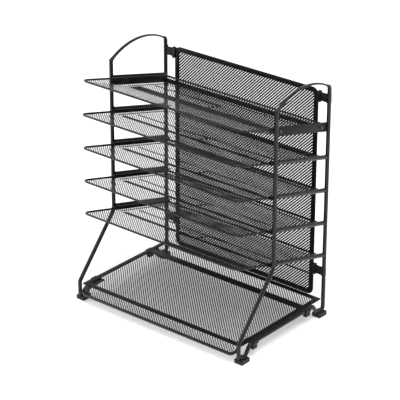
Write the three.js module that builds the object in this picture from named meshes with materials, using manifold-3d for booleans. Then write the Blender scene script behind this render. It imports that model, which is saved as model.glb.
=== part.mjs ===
// Six-tier desktop file sorter: two bent-tube side frames, a mesh back panel,
// a fixed top tray, four sliding trays and a level bottom tray.
// Millimetres, +Z up. The front is -Y, and +X is to the right seen from the front.
// The origin is on the desk, under the middle of the whole object.
import * as THREE from 'three';
import { mergeVertices } from 'three/addons/utils/BufferGeometryUtils.js';
import Module from 'manifold-3d';

const wasm = await Module();
wasm.setup();

// Driving dimensions
const frameSpacing = 321;        // between the centre planes of the two side frames
const postDepth = 128;           // front post to rear post, centre to centre
const tubeRadius = 3.2;
const weldGap = 0.3;             // clearance left where two pieces meet
const postTop = 381;             // where the posts turn into the handle arch
const archRise = 18.8;
const archHalfThickness = 1.6;    // the tube is pressed flat along the arch
const footReach = 82;            // front foot ahead of the front post
const legTop = 128.5;            // where the front post starts to slope forward
const legFoot = 33.5;            // where the sloping leg turns down to the foot
const hoopEnd = 27.5;            // the side hoop meets the foot rail here
const footTubeHeight = 6.5;      // centre of the tube at the bottom of a foot
const railHeight = 23;           // centre of the raised bottom rail
const footBend = 15;             // length of the foot's bottom, along the frame
const footLean = 27;             // where the foot has risen to the rail, along the frame

const trayTilt = THREE.MathUtils.degToRad(14.6);
const rungHeight = 300.7;        // tray 2's rung at the front post
const rungPitch = 55.1;
const trayNumbers = [2, 3, 4, 5];
const rungs = trayNumbers.map((number, index) => ({ number, height: rungHeight - rungPitch * index }));

const wireRadius = 1.6;
const sheet = 1;                 // thickness of the mesh sheets
const trayHalfWidth = 153.4;     // to the centre of the rim wire
const trayFront = -82;           // rim wire, along the tray's slope from the front post
const trayRear = 127.4;
const trayDrop = 2.4;            // rim wire below the rung's centre
const basketDepth = 5;           // the sliding trays' floors below their rims
const topBasketDepth = 13;       // the top tray's floor
const topFloorStart = 32;
const topBroadBar = 33;
const topNarrowBar = 94;
const floorStart = 6;            // where the front ramp meets the flat floor
const broadBar = 7;              // stiffening bars under the floor
const narrowBar = 45;
const frontCorner = 13;
const rearCorner = 7;

const runnerWall = 0.8;
const runnerFlange = 4.4;
const runnerPlay = 0.45;

const topHeight = 352.8;         // top tray's rim at the front post
const topHalfWidth = 154.8;
const topFront = -76;
const topRear = 126.2;
const plateHeight = 15.2;
const plateThickness = 2;
const plateX = 159;
const plateTop = 357;            // top edge of the side plates at the front post
const collarThickness = 1;

const panelHalfWidth = 140.5;
const panelBottom = 25.5;
const panelTop = 373;
const panelBorder = 8;
const panelThickness = 2.4;
const panelCorner = 11;
const crossWireHeight = 63;

const borderThickness = 1.2;
const borderHalfWidth = 160;
const borderStrip = 9;
const borderFront = -77.6;
const borderRear = 123.7;
const crossBar = 81;             // flat bar across the bottom tray's floor
const crossBarWidth = 14;
const lipFront = -86.4;
const lipHeight = 15.2;
const lipRadius = 2.6;
const lipHalfWidth = 151;
const lipCorner = 9;

const black = { color: 0x161617, roughness: 0.42, metalness: 0.55 };
const finishes = {
  tube: new THREE.MeshStandardMaterial({ ...black }),
  sheetMetal: new THREE.MeshStandardMaterial({ ...black, color: 0x1b1b1c, roughness: 0.5 }),
  mesh: new THREE.MeshStandardMaterial({ ...black, color: 0x202021, roughness: 0.55 }),
  plastic: new THREE.MeshStandardMaterial({ color: 0x121212, roughness: 0.6, metalness: 0 }),
  screw: new THREE.MeshStandardMaterial({ color: 0x2b2b2d, roughness: 0.35, metalness: 0.8 }),
};

const sorter = new THREE.Group();
const model = new THREE.Group();
sorter.add(model);

const sides = [['left', -1], ['right', 1]];
const vec = (x, y, z) => new THREE.Vector3(x, y, z);

// ---- shape helpers ----

// A route through straight runs and bends, with one point at each step of a bend.
class BentPath extends THREE.Curve {
  constructor(points) {
    super();
    this.points = points;
  }

  getPoint(t, target = new THREE.Vector3()) {
    const last = this.points.length - 1;
    const place = t * last;
    const index = Math.min(Math.floor(place), last - 1);
    return target.lerpVectors(this.points[index], this.points[index + 1], place - index);
  }

  getPointAt(u, target) {
    return this.getPoint(u, target);
  }

  getTangentAt(u, target = new THREE.Vector3()) {
    const last = this.points.length - 1;
    const index = Math.round(u * last);
    const before = this.points[Math.max(index - 1, 0)];
    const here = this.points[index];
    const after = this.points[Math.min(index + 1, last)];
    const arriving = here.clone().sub(before).normalize();
    const leaving = after.clone().sub(here).normalize();
    return target.copy(arriving).add(leaving).normalize();
  }
}

// Rounds each inner corner of a polyline with an arc of the given radius.
function bend(corners, radii, stepAngle = 0.27) {
  const points = [corners[0]];
  for (let i = 1; i < corners.length - 1; i += 1) {
    const toBefore = corners[i - 1].clone().sub(corners[i]).normalize();
    const toAfter = corners[i + 1].clone().sub(corners[i]).normalize();
    const opening = toBefore.angleTo(toAfter);
    const turn = Math.PI - opening;
    const radius = radii[i - 1];
    if (radius === 0 || turn < 0.001) {
      points.push(corners[i]);
      continue;
    }
    const bisector = toBefore.clone().add(toAfter).normalize();
    const centre = corners[i].clone().addScaledVector(bisector, radius / Math.sin(opening / 2));
    const start = corners[i].clone().addScaledVector(toBefore, radius / Math.tan(opening / 2));
    const spoke = start.clone().sub(centre);
    const axis = toBefore.clone().negate().cross(toAfter).normalize();
    const steps = Math.max(2, Math.ceil(turn / stepAngle));
    for (let k = 0; k <= steps; k += 1) {
      points.push(spoke.clone().applyAxisAngle(axis, (turn * k) / steps).add(centre));
    }
  }
  points.push(corners[corners.length - 1]);
  return points;
}

function roundSection(radius, count) {
  const shape = new THREE.Shape();
  for (let k = 0; k < count; k += 1) {
    const angle = (2 * Math.PI * (k + 0.5)) / count;
    const point = [radius * Math.cos(angle), radius * Math.sin(angle)];
    if (k === 0) shape.moveTo(...point);
    else shape.lineTo(...point);
  }
  return shape;
}

function tube(points, radius, count = 12) {
  return new THREE.ExtrudeGeometry(roundSection(radius, count), {
    steps: points.length - 1,
    bevelEnabled: false,
    extrudePath: new BentPath(points),
  });
}

function polygon(points) {
  return new THREE.Shape(points.map(([x, y]) => new THREE.Vector2(x, y)));
}

function roundedRectangle(left, bottom, right, top, radii) {
  const [leftBottom, rightBottom, rightTop, leftTop] = radii;
  const shape = new THREE.Shape();
  shape.moveTo(left + leftBottom, bottom);
  shape.lineTo(right - rightBottom, bottom);
  if (rightBottom) shape.absarc(right - rightBottom, bottom + rightBottom, rightBottom, -Math.PI / 2, 0);
  shape.lineTo(right, top - rightTop);
  if (rightTop) shape.absarc(right - rightTop, top - rightTop, rightTop, 0, Math.PI / 2);
  shape.lineTo(left + leftTop, top);
  if (leftTop) shape.absarc(left + leftTop, top - leftTop, leftTop, Math.PI / 2, Math.PI);
  shape.lineTo(left, bottom + leftBottom);
  if (leftBottom) shape.absarc(left + leftBottom, bottom + leftBottom, leftBottom, Math.PI, 1.5 * Math.PI);
  return shape;
}

function extrude(shape, depth, curveSegments = 5) {
  return new THREE.ExtrudeGeometry(shape, { depth, bevelEnabled: false, curveSegments });
}

// Turns a shape drawn in (Y, Z) and extruded into a solid along X, from x0 on.
function alongX(geometry, x0) {
  const turn = new THREE.Matrix4().makeBasis(vec(0, 1, 0), vec(0, 0, 1), vec(1, 0, 0));
  return geometry.applyMatrix4(turn).translate(x0, 0, 0);
}

// Turns a shape drawn in (X, Z) and extruded into a solid along Y, from y0 on.
function alongY(geometry, y0, depth) {
  const turn = new THREE.Matrix4().makeBasis(vec(1, 0, 0), vec(0, 0, 1), vec(0, -1, 0));
  return geometry.applyMatrix4(turn).translate(0, y0 + depth, 0);
}

function box(x0, y0, z0, x1, y1, z1) {
  const geometry = new THREE.BoxGeometry(x1 - x0, y1 - y0, z1 - z0);
  return geometry.translate((x0 + x1) / 2, (y0 + y1) / 2, (z0 + z1) / 2);
}

function cylinder(radius, from, to, count = 16) {
  const axis = to.clone().sub(from);
  const geometry = new THREE.CylinderGeometry(radius, radius, axis.length(), count);
  const turn = new THREE.Quaternion().setFromUnitVectors(vec(0, 1, 0), axis.normalize());
  const middle = from.clone().add(to).multiplyScalar(0.5);
  return geometry.applyQuaternion(turn).translate(middle.x, middle.y, middle.z);
}

function toSolid(geometry) {
  const plain = geometry.clone();
  plain.deleteAttribute('normal');
  plain.deleteAttribute('uv');
  const merged = mergeVertices(plain, 1e-4);
  return new wasm.Manifold(new wasm.Mesh({
    numProp: 3,
    vertProperties: new Float32Array(merged.attributes.position.array),
    triVerts: new Uint32Array(merged.index.array),
  }));
}

function toGeometry(solid) {
  const { vertProperties, triVerts, numProp } = solid.getMesh();
  const positions = new Float32Array((vertProperties.length / numProp) * 3);
  for (let i = 0; i * numProp < vertProperties.length; i += 1) {
    positions.set(vertProperties.subarray(i * numProp, i * numProp + 3), i * 3);
  }
  const geometry = new THREE.BufferGeometry();
  geometry.setAttribute('position', new THREE.BufferAttribute(positions, 3));
  geometry.setIndex(new THREE.BufferAttribute(new Uint32Array(triVerts), 1));
  geometry.computeVertexNormals();
  return geometry;
}

function subtract(body, ...cutters) {
  return toGeometry(cutters.reduce((solid, cutter) => solid.subtract(toSolid(cutter)), toSolid(body)));
}

function join(body, ...others) {
  return toGeometry(others.reduce((solid, other) => solid.add(toSolid(other)), toSolid(body)));
}

function intersect(body, other) {
  return toGeometry(toSolid(body).intersect(toSolid(other)));
}

function add(parent, name, geometry, material) {
  const mesh = new THREE.Mesh(geometry, material);
  mesh.name = name;
  parent.add(mesh);
}

// A group whose own +Y runs down a tray's slope, with its origin at the front posts.
function slopedGroup(height, tilt) {
  const group = new THREE.Group();
  group.position.z = height;
  group.rotation.x = -tilt;
  model.add(group);
  return group;
}

// ---- side frames ----

const halfDepth = postDepth / 2;
const archRadius = (archRise * archRise + halfDepth * halfDepth) / (2 * archRise);
const archAngle = Math.asin(halfDepth / archRadius);
const archCentre = postTop + archRise - archRadius;

function hoopPoints(x) {
  const arch = [];
  const steps = 14;
  for (let k = 1; k < steps; k += 1) {
    const angle = -archAngle + (2 * archAngle * k) / steps;
    const y = halfDepth + archRadius * Math.sin(angle);
    arch.push(vec(x, y, archCentre + archRadius * Math.cos(angle)));
  }
  const corners = [
    vec(x, -footReach, hoopEnd),
    vec(x, -footReach, legFoot),
    vec(x, 0, legTop),
    vec(x, 0, postTop - 5),
    vec(x, 0, postTop),
    ...arch,
    vec(x, postDepth, postTop),
    vec(x, postDepth, hoopEnd),
  ];
  return bend(corners, [6, 22, 0, 0, ...arch.map(() => 0), 6.5]);
}

// Presses the tube towards the arch's centre line, easing in from the posts.
function flattenArch(geometry) {
  const { position } = geometry.attributes;
  for (let i = 0; i < position.count; i += 1) {
    const dy = position.getY(i) - halfDepth;
    const dz = position.getZ(i) - archCentre;
    const inside = archAngle - Math.abs(Math.atan2(dy, dz));
    const press = THREE.MathUtils.smoothstep(inside, 0, 0.07) * (1 - archHalfThickness / tubeRadius);
    const radius = Math.hypot(dy, dz);
    const moved = (radius - (radius - archRadius) * press) / radius;
    if (position.getZ(i) > postTop - 4) {
      position.setY(i, halfDepth + dy * moved);
      position.setZ(i, archCentre + dz * moved);
    }
  }
  return geometry;
}

function footRailPoints(x) {
  const foot = [
    [-footReach, hoopEnd - weldGap],
    [-footReach, footTubeHeight],
    [-footReach + footBend, footTubeHeight],
    [-footReach + footLean, railHeight],
  ];
  const rear = foot.map(([y, z]) => [postDepth - footReach - y, z]).reverse();
  const corners = [...foot, ...rear].map(([y, z]) => vec(x, y, z));
  return bend(corners, [7, 6.5, 5, 5, 6.5, 7], 0.35);
}

function postCutter(x, y) {
  return cylinder(tubeRadius + weldGap, vec(x, y, 0), vec(x, y, 400), 24);
}

for (const [side, sign] of sides) {
  const x = (sign * frameSpacing) / 2;
  add(model, `${side}_side_hoop`, flattenArch(tube(hoopPoints(x), tubeRadius)), finishes.tube);
  add(model, `${side}_foot_rail`, tube(footRailPoints(x), tubeRadius), finishes.tube);
  for (const { number, height } of rungs) {
    const drop = postDepth * Math.tan(trayTilt);
    const bar = cylinder(tubeRadius, vec(x, 0, height), vec(x, postDepth, height - drop), 12);
    const coped = subtract(bar, postCutter(x, 0), postCutter(x, postDepth));
    add(model, `${side}_rung_${number}`, coped, finishes.tube);
  }
}

// ---- foot caps ----

const capHalfWidth = 7.2;
const capLength = 19;
const capHeight = 7.4;

// A plastic shoe that the bottom of the foot's bend is pressed into.
function footCap(x, yStart) {
  const shape = polygon([
    [yStart + 1.2, 0],
    [yStart + capLength - 1.2, 0],
    [yStart + capLength, 1.2],
    [yStart + capLength, capHeight - 1],
    [yStart + capLength - 1, capHeight],
    [yStart + 1, capHeight],
    [yStart, capHeight - 1],
    [yStart, 1.2],
  ]);
  const body = alongX(extrude(shape, 2 * capHalfWidth), x - capHalfWidth);
  const channel = tube(footRailPoints(x), tubeRadius + weldGap, 14);
  const mouth = box(
    x - tubeRadius - weldGap,
    yStart - 2,
    footTubeHeight,
    x + tubeRadius + weldGap,
    yStart + capLength + 2,
    capHeight + 2,
  );
  return subtract(body, channel, mouth);
}

for (const [side, sign] of sides) {
  const x = (sign * frameSpacing) / 2;
  add(model, `front_${side}_foot_cap`, footCap(x, -footReach - 1), finishes.plastic);
  add(model, `rear_${side}_foot_cap`, footCap(x, postDepth - capLength + 1), finishes.plastic);
}

// ---- trays ----

// The rim wire, bent to a rounded rectangle and butted at the middle of the rear.
function rimWire(halfWidth, front, rear) {
  const corners = [
    vec(-weldGap / 2, rear, 0),
    vec(-halfWidth, rear, 0),
    vec(-halfWidth, front, 0),
    vec(halfWidth, front, 0),
    vec(halfWidth, rear, 0),
    vec(weldGap / 2, rear, 0),
  ];
  return tube(bend(corners, [rearCorner, frontCorner, frontCorner, rearCorner]), wireRadius, 8);
}

// A shallow mesh basket: a front ramp, a flat floor, two side walls and a rear wall.
function basket(halfWidth, front, rear, depth, rampEnd) {
  const outline = (inset, lift) => polygon([
    [front + inset, 0.6],
    [front + inset, lift - 0.6],
    [rampEnd, -depth + lift],
    [rear - inset, -depth + lift],
    [rear - inset, 0.6],
  ]);
  const inner = (inset, lift, top) => polygon([
    [front + inset - 3, top],
    [front + inset - 3, lift + 0.2],
    [front + inset, lift - 0.6],
    [rampEnd, -depth + lift],
    [rear - inset, -depth + lift],
    [rear - inset, top],
  ]);
  const outer = alongX(extrude(outline(0, 0), 2 * halfWidth), -halfWidth);
  const hollow = alongX(extrude(inner(sheet, sheet, 9), 2 * (halfWidth - sheet)), -halfWidth + sheet);
  const plan = roundedRectangle(
    -halfWidth,
    front,
    halfWidth,
    rear,
    [frontCorner - wireRadius, frontCorner - wireRadius, rearCorner - wireRadius, rearCorner - wireRadius],
  );
  const trimmed = intersect(outer, extrude(plan, 30).translate(0, 0, -15));
  return subtract(trimmed, hollow);
}

// Flat bars under the basket that keep its floor from sagging: a broad one behind
// the ramp, a narrow one further back, and a short tie between them.
function stiffener(halfWidth, depth) {
  const top = -depth - weldGap;
  const bar = (x, y0, y1) => box(-x, y0, top - 1, x, y1, top);
  return join(
    bar(halfWidth, broadBar, broadBar + 9),
    bar(halfWidth, narrowBar, narrowBar + 3),
    bar(1.5, broadBar + 4, narrowBar + 1),
  );
}

// Under the top tray: a wide strip behind the ramp, and a narrow one that runs from
// the left wall to the middle, where a tie brings it forward to the wide strip.
function topStiffener(halfWidth) {
  const top = -topBasketDepth - weldGap;
  const middle = -13;
  return join(
    box(-halfWidth, topBroadBar, top - 1, halfWidth, topBroadBar + 26, top),
    box(-halfWidth, topNarrowBar, top - 1, middle, topNarrowBar + 3, top),
    box(middle - 3, topBroadBar + 13, top - 1, middle, topNarrowBar + 1.5, top),
  );
}

const meshInset = wireRadius + weldGap;

for (const { number, height } of rungs) {
  const group = slopedGroup(height - trayDrop / Math.cos(trayTilt), trayTilt);
  const halfWidth = trayHalfWidth - meshInset;
  const front = trayFront + meshInset;
  const rear = trayRear - meshInset;
  add(group, `tray_${number}_rim_wire`, rimWire(trayHalfWidth, trayFront, trayRear), finishes.tube);
  add(group, `tray_${number}_mesh_basket`, basket(halfWidth, front, rear, basketDepth, floorStart), finishes.mesh);
  add(group, `tray_${number}_stiffener`, stiffener(halfWidth - 6, basketDepth), finishes.sheetMetal);
}

// ---- runners: channels welded inside the rungs, in which the rim wires slide ----

function runner(sign) {
  const outside = frameSpacing / 2 - tubeRadius - weldGap;
  const top = wireRadius + runnerPlay + runnerWall;
  const mouth = outside - runnerFlange;
  const channel = polygon([
    [sign * outside, -top],
    [sign * outside, top],
    [sign * mouth, top],
    [sign * mouth, top - runnerWall],
    [sign * (outside - runnerWall), top - runnerWall],
    [sign * (outside - runnerWall), -top + runnerWall],
    [sign * mouth, -top + runnerWall],
    [sign * mouth, -top],
  ]);
  const start = -tubeRadius - 2;
  const length = postDepth / Math.cos(trayTilt) + tubeRadius - start;
  return alongY(extrude(channel, length), start, length);
}

for (const { number, height } of rungs) {
  const group = slopedGroup(height - trayDrop / Math.cos(trayTilt), trayTilt);
  for (const [side, sign] of sides) {
    add(group, `${side}_runner_${number}`, runner(sign), finishes.sheetMetal);
  }
}

// ---- fixed top tray ----

// Side plate between the posts, coped to them.
function sidePlate(x) {
  const drop = postDepth * Math.tan(trayTilt);
  const outline = polygon([
    [0, plateTop - plateHeight],
    [postDepth, plateTop - plateHeight - drop],
    [postDepth, plateTop - drop],
    [0, plateTop],
  ]);
  const plate = alongX(extrude(outline, plateThickness), x - plateThickness / 2);
  const post = (Math.sign(x) * frameSpacing) / 2;
  return subtract(plate, postCutter(post, 0), postCutter(post, postDepth));
}

// Sheet-metal collar round the tray's sides and rear, screwed to the side plates.
function collar() {
  const outside = plateX - plateThickness / 2 - weldGap;
  const rear = topRear + wireRadius + weldGap + collarThickness;
  const start = tubeRadius + 3;
  const side = box(-outside, start, -11.4, -outside + collarThickness, rear, 2.4);
  const otherSide = box(outside - collarThickness, start, -11.4, outside, rear, 2.4);
  const back = box(-outside, rear - collarThickness, -12, outside, rear, -4.2);
  return join(side, back, otherSide);
}

const topGroup = slopedGroup(topHeight, trayTilt);
const topMeshHalfWidth = topHalfWidth - meshInset;
add(topGroup, 'top_tray_rim_wire', rimWire(topHalfWidth, topFront, topRear), finishes.tube);
add(
  topGroup,
  'top_tray_mesh_basket',
  basket(topMeshHalfWidth, topFront + meshInset, topRear - meshInset, topBasketDepth, topFloorStart),
  finishes.mesh,
);
add(
  topGroup,
  'top_tray_stiffener',
  topStiffener(topMeshHalfWidth - 4),
  finishes.sheetMetal,
);
add(topGroup, 'top_tray_collar', collar(), finishes.sheetMetal);

for (const [side, sign] of sides) {
  add(model, `${side}_top_plate`, sidePlate(sign * plateX), finishes.sheetMetal);
}

// Pan-head screw heads: a low dome on a washer face, turned to the given direction.
function screwHead(centre, direction, radius = 2.9) {
  const profile = [
    [0, 0],
    [radius, 0],
    [radius, 0.7],
    [radius * 0.8, 1.5],
    [radius * 0.45, 1.9],
    [0, 2],
  ].map(([r, z]) => new THREE.Vector2(r, z));
  const turn = new THREE.Quaternion().setFromUnitVectors(vec(0, 1, 0), direction);
  const head = new THREE.LatheGeometry(profile, 14);
  return head.applyQuaternion(turn).translate(centre.x, centre.y, centre.z);
}

for (const [side, sign] of sides) {
  for (const [place, y] of [['front', 10.5], ['rear', postDepth - 17]]) {
    const z = plateTop - plateHeight / 2 - y * Math.tan(trayTilt);
    const face = sign * (plateX + plateThickness / 2 + weldGap);
    add(model, `${side}_${place}_plate_screw`, screwHead(vec(face, y, z), vec(sign, 0, 0)), finishes.screw);
  }
}

// ---- back panel ----

function panelOutline(inset) {
  const corner = panelCorner - inset;
  return roundedRectangle(
    -panelHalfWidth + inset,
    panelBottom + inset,
    panelHalfWidth - inset,
    panelTop - inset,
    [corner, corner, corner, corner],
  );
}

function panelFrame() {
  const ring = panelOutline(0);
  ring.holes.push(panelOutline(panelBorder));
  return alongY(extrude(ring, panelThickness), postDepth - panelThickness / 2, panelThickness);
}

add(model, 'back_panel_border', panelFrame(), finishes.sheetMetal);
add(
  model,
  'back_panel_mesh',
  alongY(extrude(panelOutline(panelBorder + weldGap), sheet), postDepth - sheet / 2, sheet),
  finishes.mesh,
);
add(
  model,
  'back_panel_cross_wire',
  cylinder(
    1.2,
    vec(-panelHalfWidth + panelBorder, postDepth - sheet / 2 - 1.5, crossWireHeight),
    vec(panelHalfWidth - panelBorder, postDepth - sheet / 2 - 1.5, crossWireHeight),
    8,
  ),
  finishes.tube,
);

// Clip bracket: a saddle behind the post, a web, and jaws over the panel's edge.
const clipHalfHeight = 7.6;
const jawHalfHeight = 10;
const clipHeights = [['upper', 361.5], ['lower', 73]];
const sleeveRadius = tubeRadius + weldGap + 0.9;
const jawReach = 7;

function clip(sign, height) {
  const post = frameSpacing / 2;
  const edge = panelHalfWidth;
  const gap = panelThickness / 2 + weldGap;
  const jaw = gap + 1.6;
  const sleeve = cylinder(sleeveRadius, vec(post, 0, -clipHalfHeight), vec(post, 0, clipHalfHeight), 20);
  const web = box(edge + weldGap, -1.6, -clipHalfHeight + 1, post, 1.6, clipHalfHeight - 1);
  const plate = roundedRectangle(
    edge - jawReach,
    -jawHalfHeight,
    edge + 5,
    jawHalfHeight,
    [3, 4.5, 4.5, 3],
  );
  const jaws = alongY(extrude(plate, 2 * jaw, 4), -jaw, 2 * jaw);
  const slot = box(edge - jawReach - 1, -gap, -20, edge + weldGap, gap, 20);
  const bore = cylinder(tubeRadius + weldGap, vec(post, 0, -20), vec(post, 0, 20), 20);
  const front = box(post - 9, -9, -20, post + 9, -1.6, 20);
  const outside = box(post + 1.5, -9, -20, post + 9, 9, 20);
  const body = subtract(join(sleeve, web, jaws), slot, bore, front, outside);
  if (sign < 0) body.rotateZ(Math.PI);
  return body.translate(0, postDepth, height);
}

for (const [level, height] of clipHeights) {
  for (const [side, sign] of sides) {
    add(model, `${level}_${side}_panel_clip`, clip(sign, height), finishes.plastic);
  }
}

// ---- bottom tray ----

const borderBase = railHeight + tubeRadius + weldGap;
const floorTop = borderBase - weldGap;

function bottomBorder() {
  const ring = roundedRectangle(
    -borderHalfWidth,
    borderFront,
    borderHalfWidth,
    borderRear,
    [3, 3, 3, 3],
  );
  const window = (front, rear) => roundedRectangle(
    -borderHalfWidth + borderStrip,
    front,
    borderHalfWidth - borderStrip,
    rear,
    [2, 2, 2, 2],
  );
  ring.holes.push(window(borderFront + borderStrip, crossBar - crossBarWidth / 2));
  ring.holes.push(window(crossBar + crossBarWidth / 2, borderRear - borderStrip));
  return extrude(ring, borderThickness, 3).translate(0, 0, borderBase);
}

// Level floor with a front lip that slopes down between the two front feet.
function bottomMesh() {
  const profile = polygon([
    [lipFront + lipRadius, lipHeight + 1.4],
    [lipFront + lipRadius + 1, lipHeight + 1.0],
    [borderFront + 0.4, floorTop - sheet],
    [borderRear - 1, floorTop - sheet],
    [borderRear - 1, floorTop],
    [borderFront, floorTop],
  ]);
  const pan = alongX(extrude(profile, 2 * lipHalfWidth), -lipHalfWidth);
  const plan = roundedRectangle(
    -lipHalfWidth,
    lipFront + lipRadius,
    lipHalfWidth,
    borderRear - 1,
    [lipCorner, lipCorner, 0, 0],
  );
  return intersect(pan, extrude(plan, 60));
}

function lipWire() {
  const x = lipHalfWidth + lipRadius + weldGap;
  const corners = [
    vec(-x, borderFront + 3, floorTop - lipRadius - 0.5),
    vec(-x, lipFront, lipHeight),
    vec(x, lipFront, lipHeight),
    vec(x, borderFront + 3, floorTop - lipRadius - 0.5),
  ];
  return tube(bend(corners, [lipCorner, lipCorner]), lipRadius, 10);
}

add(model, 'bottom_tray_border', bottomBorder(), finishes.sheetMetal);
add(model, 'bottom_tray_mesh', bottomMesh(), finishes.mesh);
add(model, 'bottom_tray_lip_wire', lipWire(), finishes.tube);

// Clip wrapped round the bottom rail, with a tongue under the tray's border.
const railClipLength = 12;
const railClipPlaces = [['front', -footReach + 36], ['rear', postDepth - 42]];

function railClip(sign, y) {
  const x = (sign * frameSpacing) / 2;
  const start = y - railClipLength / 2;
  const outer = tubeRadius + weldGap + 1.6;
  const shell = cylinder(outer, vec(x, start, railHeight), vec(x, start + railClipLength, railHeight), 16);
  const nose = box(x - 3.2, start + 1, railHeight - outer - 5, x + 3.2, start + railClipLength - 1, railHeight);
  const tongueEnd = x - sign * 15;
  const tongueLow = borderBase - sheet - 2 * weldGap - 2.4;
  const tongue = box(
    Math.min(x, tongueEnd),
    start,
    tongueLow,
    Math.max(x, tongueEnd),
    start + railClipLength,
    tongueLow + 1.4,
  );
  const bore = cylinder(
    tubeRadius + weldGap,
    vec(x, start - 5, railHeight),
    vec(x, start + railClipLength + 5, railHeight),
    16,
  );
  const above = box(x - 30, start - 5, railHeight + 2.2, x + 30, start + railClipLength + 5, 60);
  return subtract(join(shell, nose, tongue), bore, above);
}

for (const [place, y] of railClipPlaces) {
  for (const [side, sign] of sides) {
    add(model, `${place}_${side}_rail_clip`, railClip(sign, y), finishes.plastic);
  }
}

// ---- origin: on the desk, under the middle of the whole object ----

sorter.updateMatrixWorld(true);
const extent = new THREE.Box3().setFromObject(sorter);
model.position.y = -(extent.min.y + extent.max.y) / 2;
model.position.z = -extent.min.z;

export default sorter;
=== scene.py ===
"""Looks of the desktop file sorter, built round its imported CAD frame.

Lengths below are millimetres. y is measured back from the front posts' plane and z up
from the desk; place() turns them into the frame's metres. The front is -y.
"""

import math
import random

import bmesh
import bpy
from mathutils import Matrix, Vector


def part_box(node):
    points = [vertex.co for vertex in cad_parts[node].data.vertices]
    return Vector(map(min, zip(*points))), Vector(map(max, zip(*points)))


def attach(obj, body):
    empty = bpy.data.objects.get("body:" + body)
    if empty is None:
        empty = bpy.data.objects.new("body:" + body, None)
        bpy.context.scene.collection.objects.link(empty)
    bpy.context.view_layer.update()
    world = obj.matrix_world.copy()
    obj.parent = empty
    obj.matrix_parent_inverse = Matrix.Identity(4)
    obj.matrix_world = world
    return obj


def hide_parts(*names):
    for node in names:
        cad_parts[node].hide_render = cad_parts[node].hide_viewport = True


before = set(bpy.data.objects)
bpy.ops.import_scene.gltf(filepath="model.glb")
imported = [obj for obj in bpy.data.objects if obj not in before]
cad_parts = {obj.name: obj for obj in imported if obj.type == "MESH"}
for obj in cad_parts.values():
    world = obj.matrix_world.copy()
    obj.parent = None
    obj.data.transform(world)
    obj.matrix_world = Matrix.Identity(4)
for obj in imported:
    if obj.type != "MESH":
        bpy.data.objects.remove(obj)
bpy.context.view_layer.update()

MM = 0.001
CAP_LOW, CAP_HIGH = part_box("front_left_foot_cap")
POST_PLANE = CAP_LOW.y / MM + 83.0
SIDE_X = -(CAP_LOW.x + CAP_HIGH.x) / 2 / MM

TUBE = 3.2
POST_DEPTH = 128.0
POST_TOP = 381.0
ARCH_RISE = 18.8
ARCH_HALF_THICKNESS = 1.53
FOOT_REACH = 82.0
LEG_TOP = 128.5
LEG_FOOT = 33.5
HOOP_END = 27.5
FOOT_TUBE = 6.5
RAIL = 23.0
WIRE = 1.6
WELD_GAP = 0.3

TILT = math.radians(14.6)
RUNG = 300.7
RUNG_PITCH = 55.1
TRAY_HALF_WIDTH = 153.4
TRAY_FRONT = -82.0
TRAY_REAR = 127.4
TRAY_DROP = 2.4
BASKET = 5.0
FLOOR_START = 6.0
BROAD_BAR = 7.0
BROAD_WIDTH = 9.0
NARROW_BAR = 45.0
NARROW_WIDTH = 3.0
BAR_SHEET = 1.0
FRONT_CORNER = 13.0
REAR_CORNER = 7.0
TOP_RIM = 352.8
TOP_HALF_WIDTH = 154.8
TOP_FRONT = -76.0
TOP_REAR = 126.2
PLATE_X = 159.0
PLATE_TOP = 357.0
PLATE_HEIGHT = 15.2
TOP_BASKET = 13.0
TOP_FLOOR_START = 32.0
TOP_BROAD_BAR = 33.0
TOP_BROAD_WIDTH = 26.0
TOP_NARROW_BAR = 94.0
TOP_BAR_END = -13.0
COLLAR_SHEET = 1.0
COLLAR_LOW, COLLAR_HIGH = -11.4, 2.4
COLLAR_REAR_LOW, COLLAR_REAR_HIGH = -12.0, -4.2

PANEL_HALF_WIDTH = 140.5
PANEL_BOTTOM = 25.5
PANEL_TOP = 373.0
PANEL_BORDER = 8.0
PANEL_CORNER = 11.0
PANEL_THICKNESS = 2.4
CROSS_WIRE_HEIGHT = 63.0
CROSS_WIRE = 1.2

FLOOR = 26.2
BORDER_HALF_WIDTH = 160.0
BORDER_FRONT = -77.6
BORDER_REAR = 123.7
BORDER_STRIP = 9.0
BORDER_SHEET = 1.2
CROSS_BAR = 81.0
CROSS_BAR_WIDTH = 14.0
LIP_FRONT = -86.4
LIP_HEIGHT = 15.2
LIP_WIRE = 2.6
LIP_HALF_WIDTH = 151.0
LIP_CORNER = 9.0

MESH_PITCH = 4.95
MESH_HALF_SHEET = 0.5

UPPER_CLIP = 361.5
LOWER_CLIP = 73.0
CLIP_HALF_GAP = 1.5
CLIP_WALL = 1.6
CLIP_HALF_JAW = 8.0
CLIP_HALF_SPINE = 9.0
CLIP_HALF_WEB = 6.6
CLIP_RIBS = (-5.4, 0, 5.4)
CLIP_HALF_SADDLE = 7.6

SIDES = (("left", -1), ("right", 1))


# ---- shader node groups ----

def node(tree, kind, **settings):
    made = tree.nodes.new(kind)
    for name, value in settings.items():
        if name in made.inputs:
            made.inputs[name].default_value = value
        else:
            setattr(made, name, value)
    return made


def open_group(name, inputs, outputs):
    group = bpy.data.node_groups.new(name, "ShaderNodeTree")
    for label, kind, value in inputs:
        socket = group.interface.new_socket(label, in_out="INPUT", socket_type=kind)
        socket.default_value = value
    for label, kind in outputs:
        group.interface.new_socket(label, in_out="OUTPUT", socket_type=kind)
    return group, group.nodes.new("NodeGroupInput"), group.nodes.new("NodeGroupOutput")


def math_node(tree, operation, first, second=None, clamp=False):
    made = tree.nodes.new("ShaderNodeMath")
    made.operation = operation
    made.use_clamp = clamp
    for index, value in enumerate((first, second)):
        if value is None:
            continue
        if isinstance(value, (int, float)):
            made.inputs[index].default_value = value
        else:
            tree.links.new(value, made.inputs[index])
    return made.outputs[0]


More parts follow.
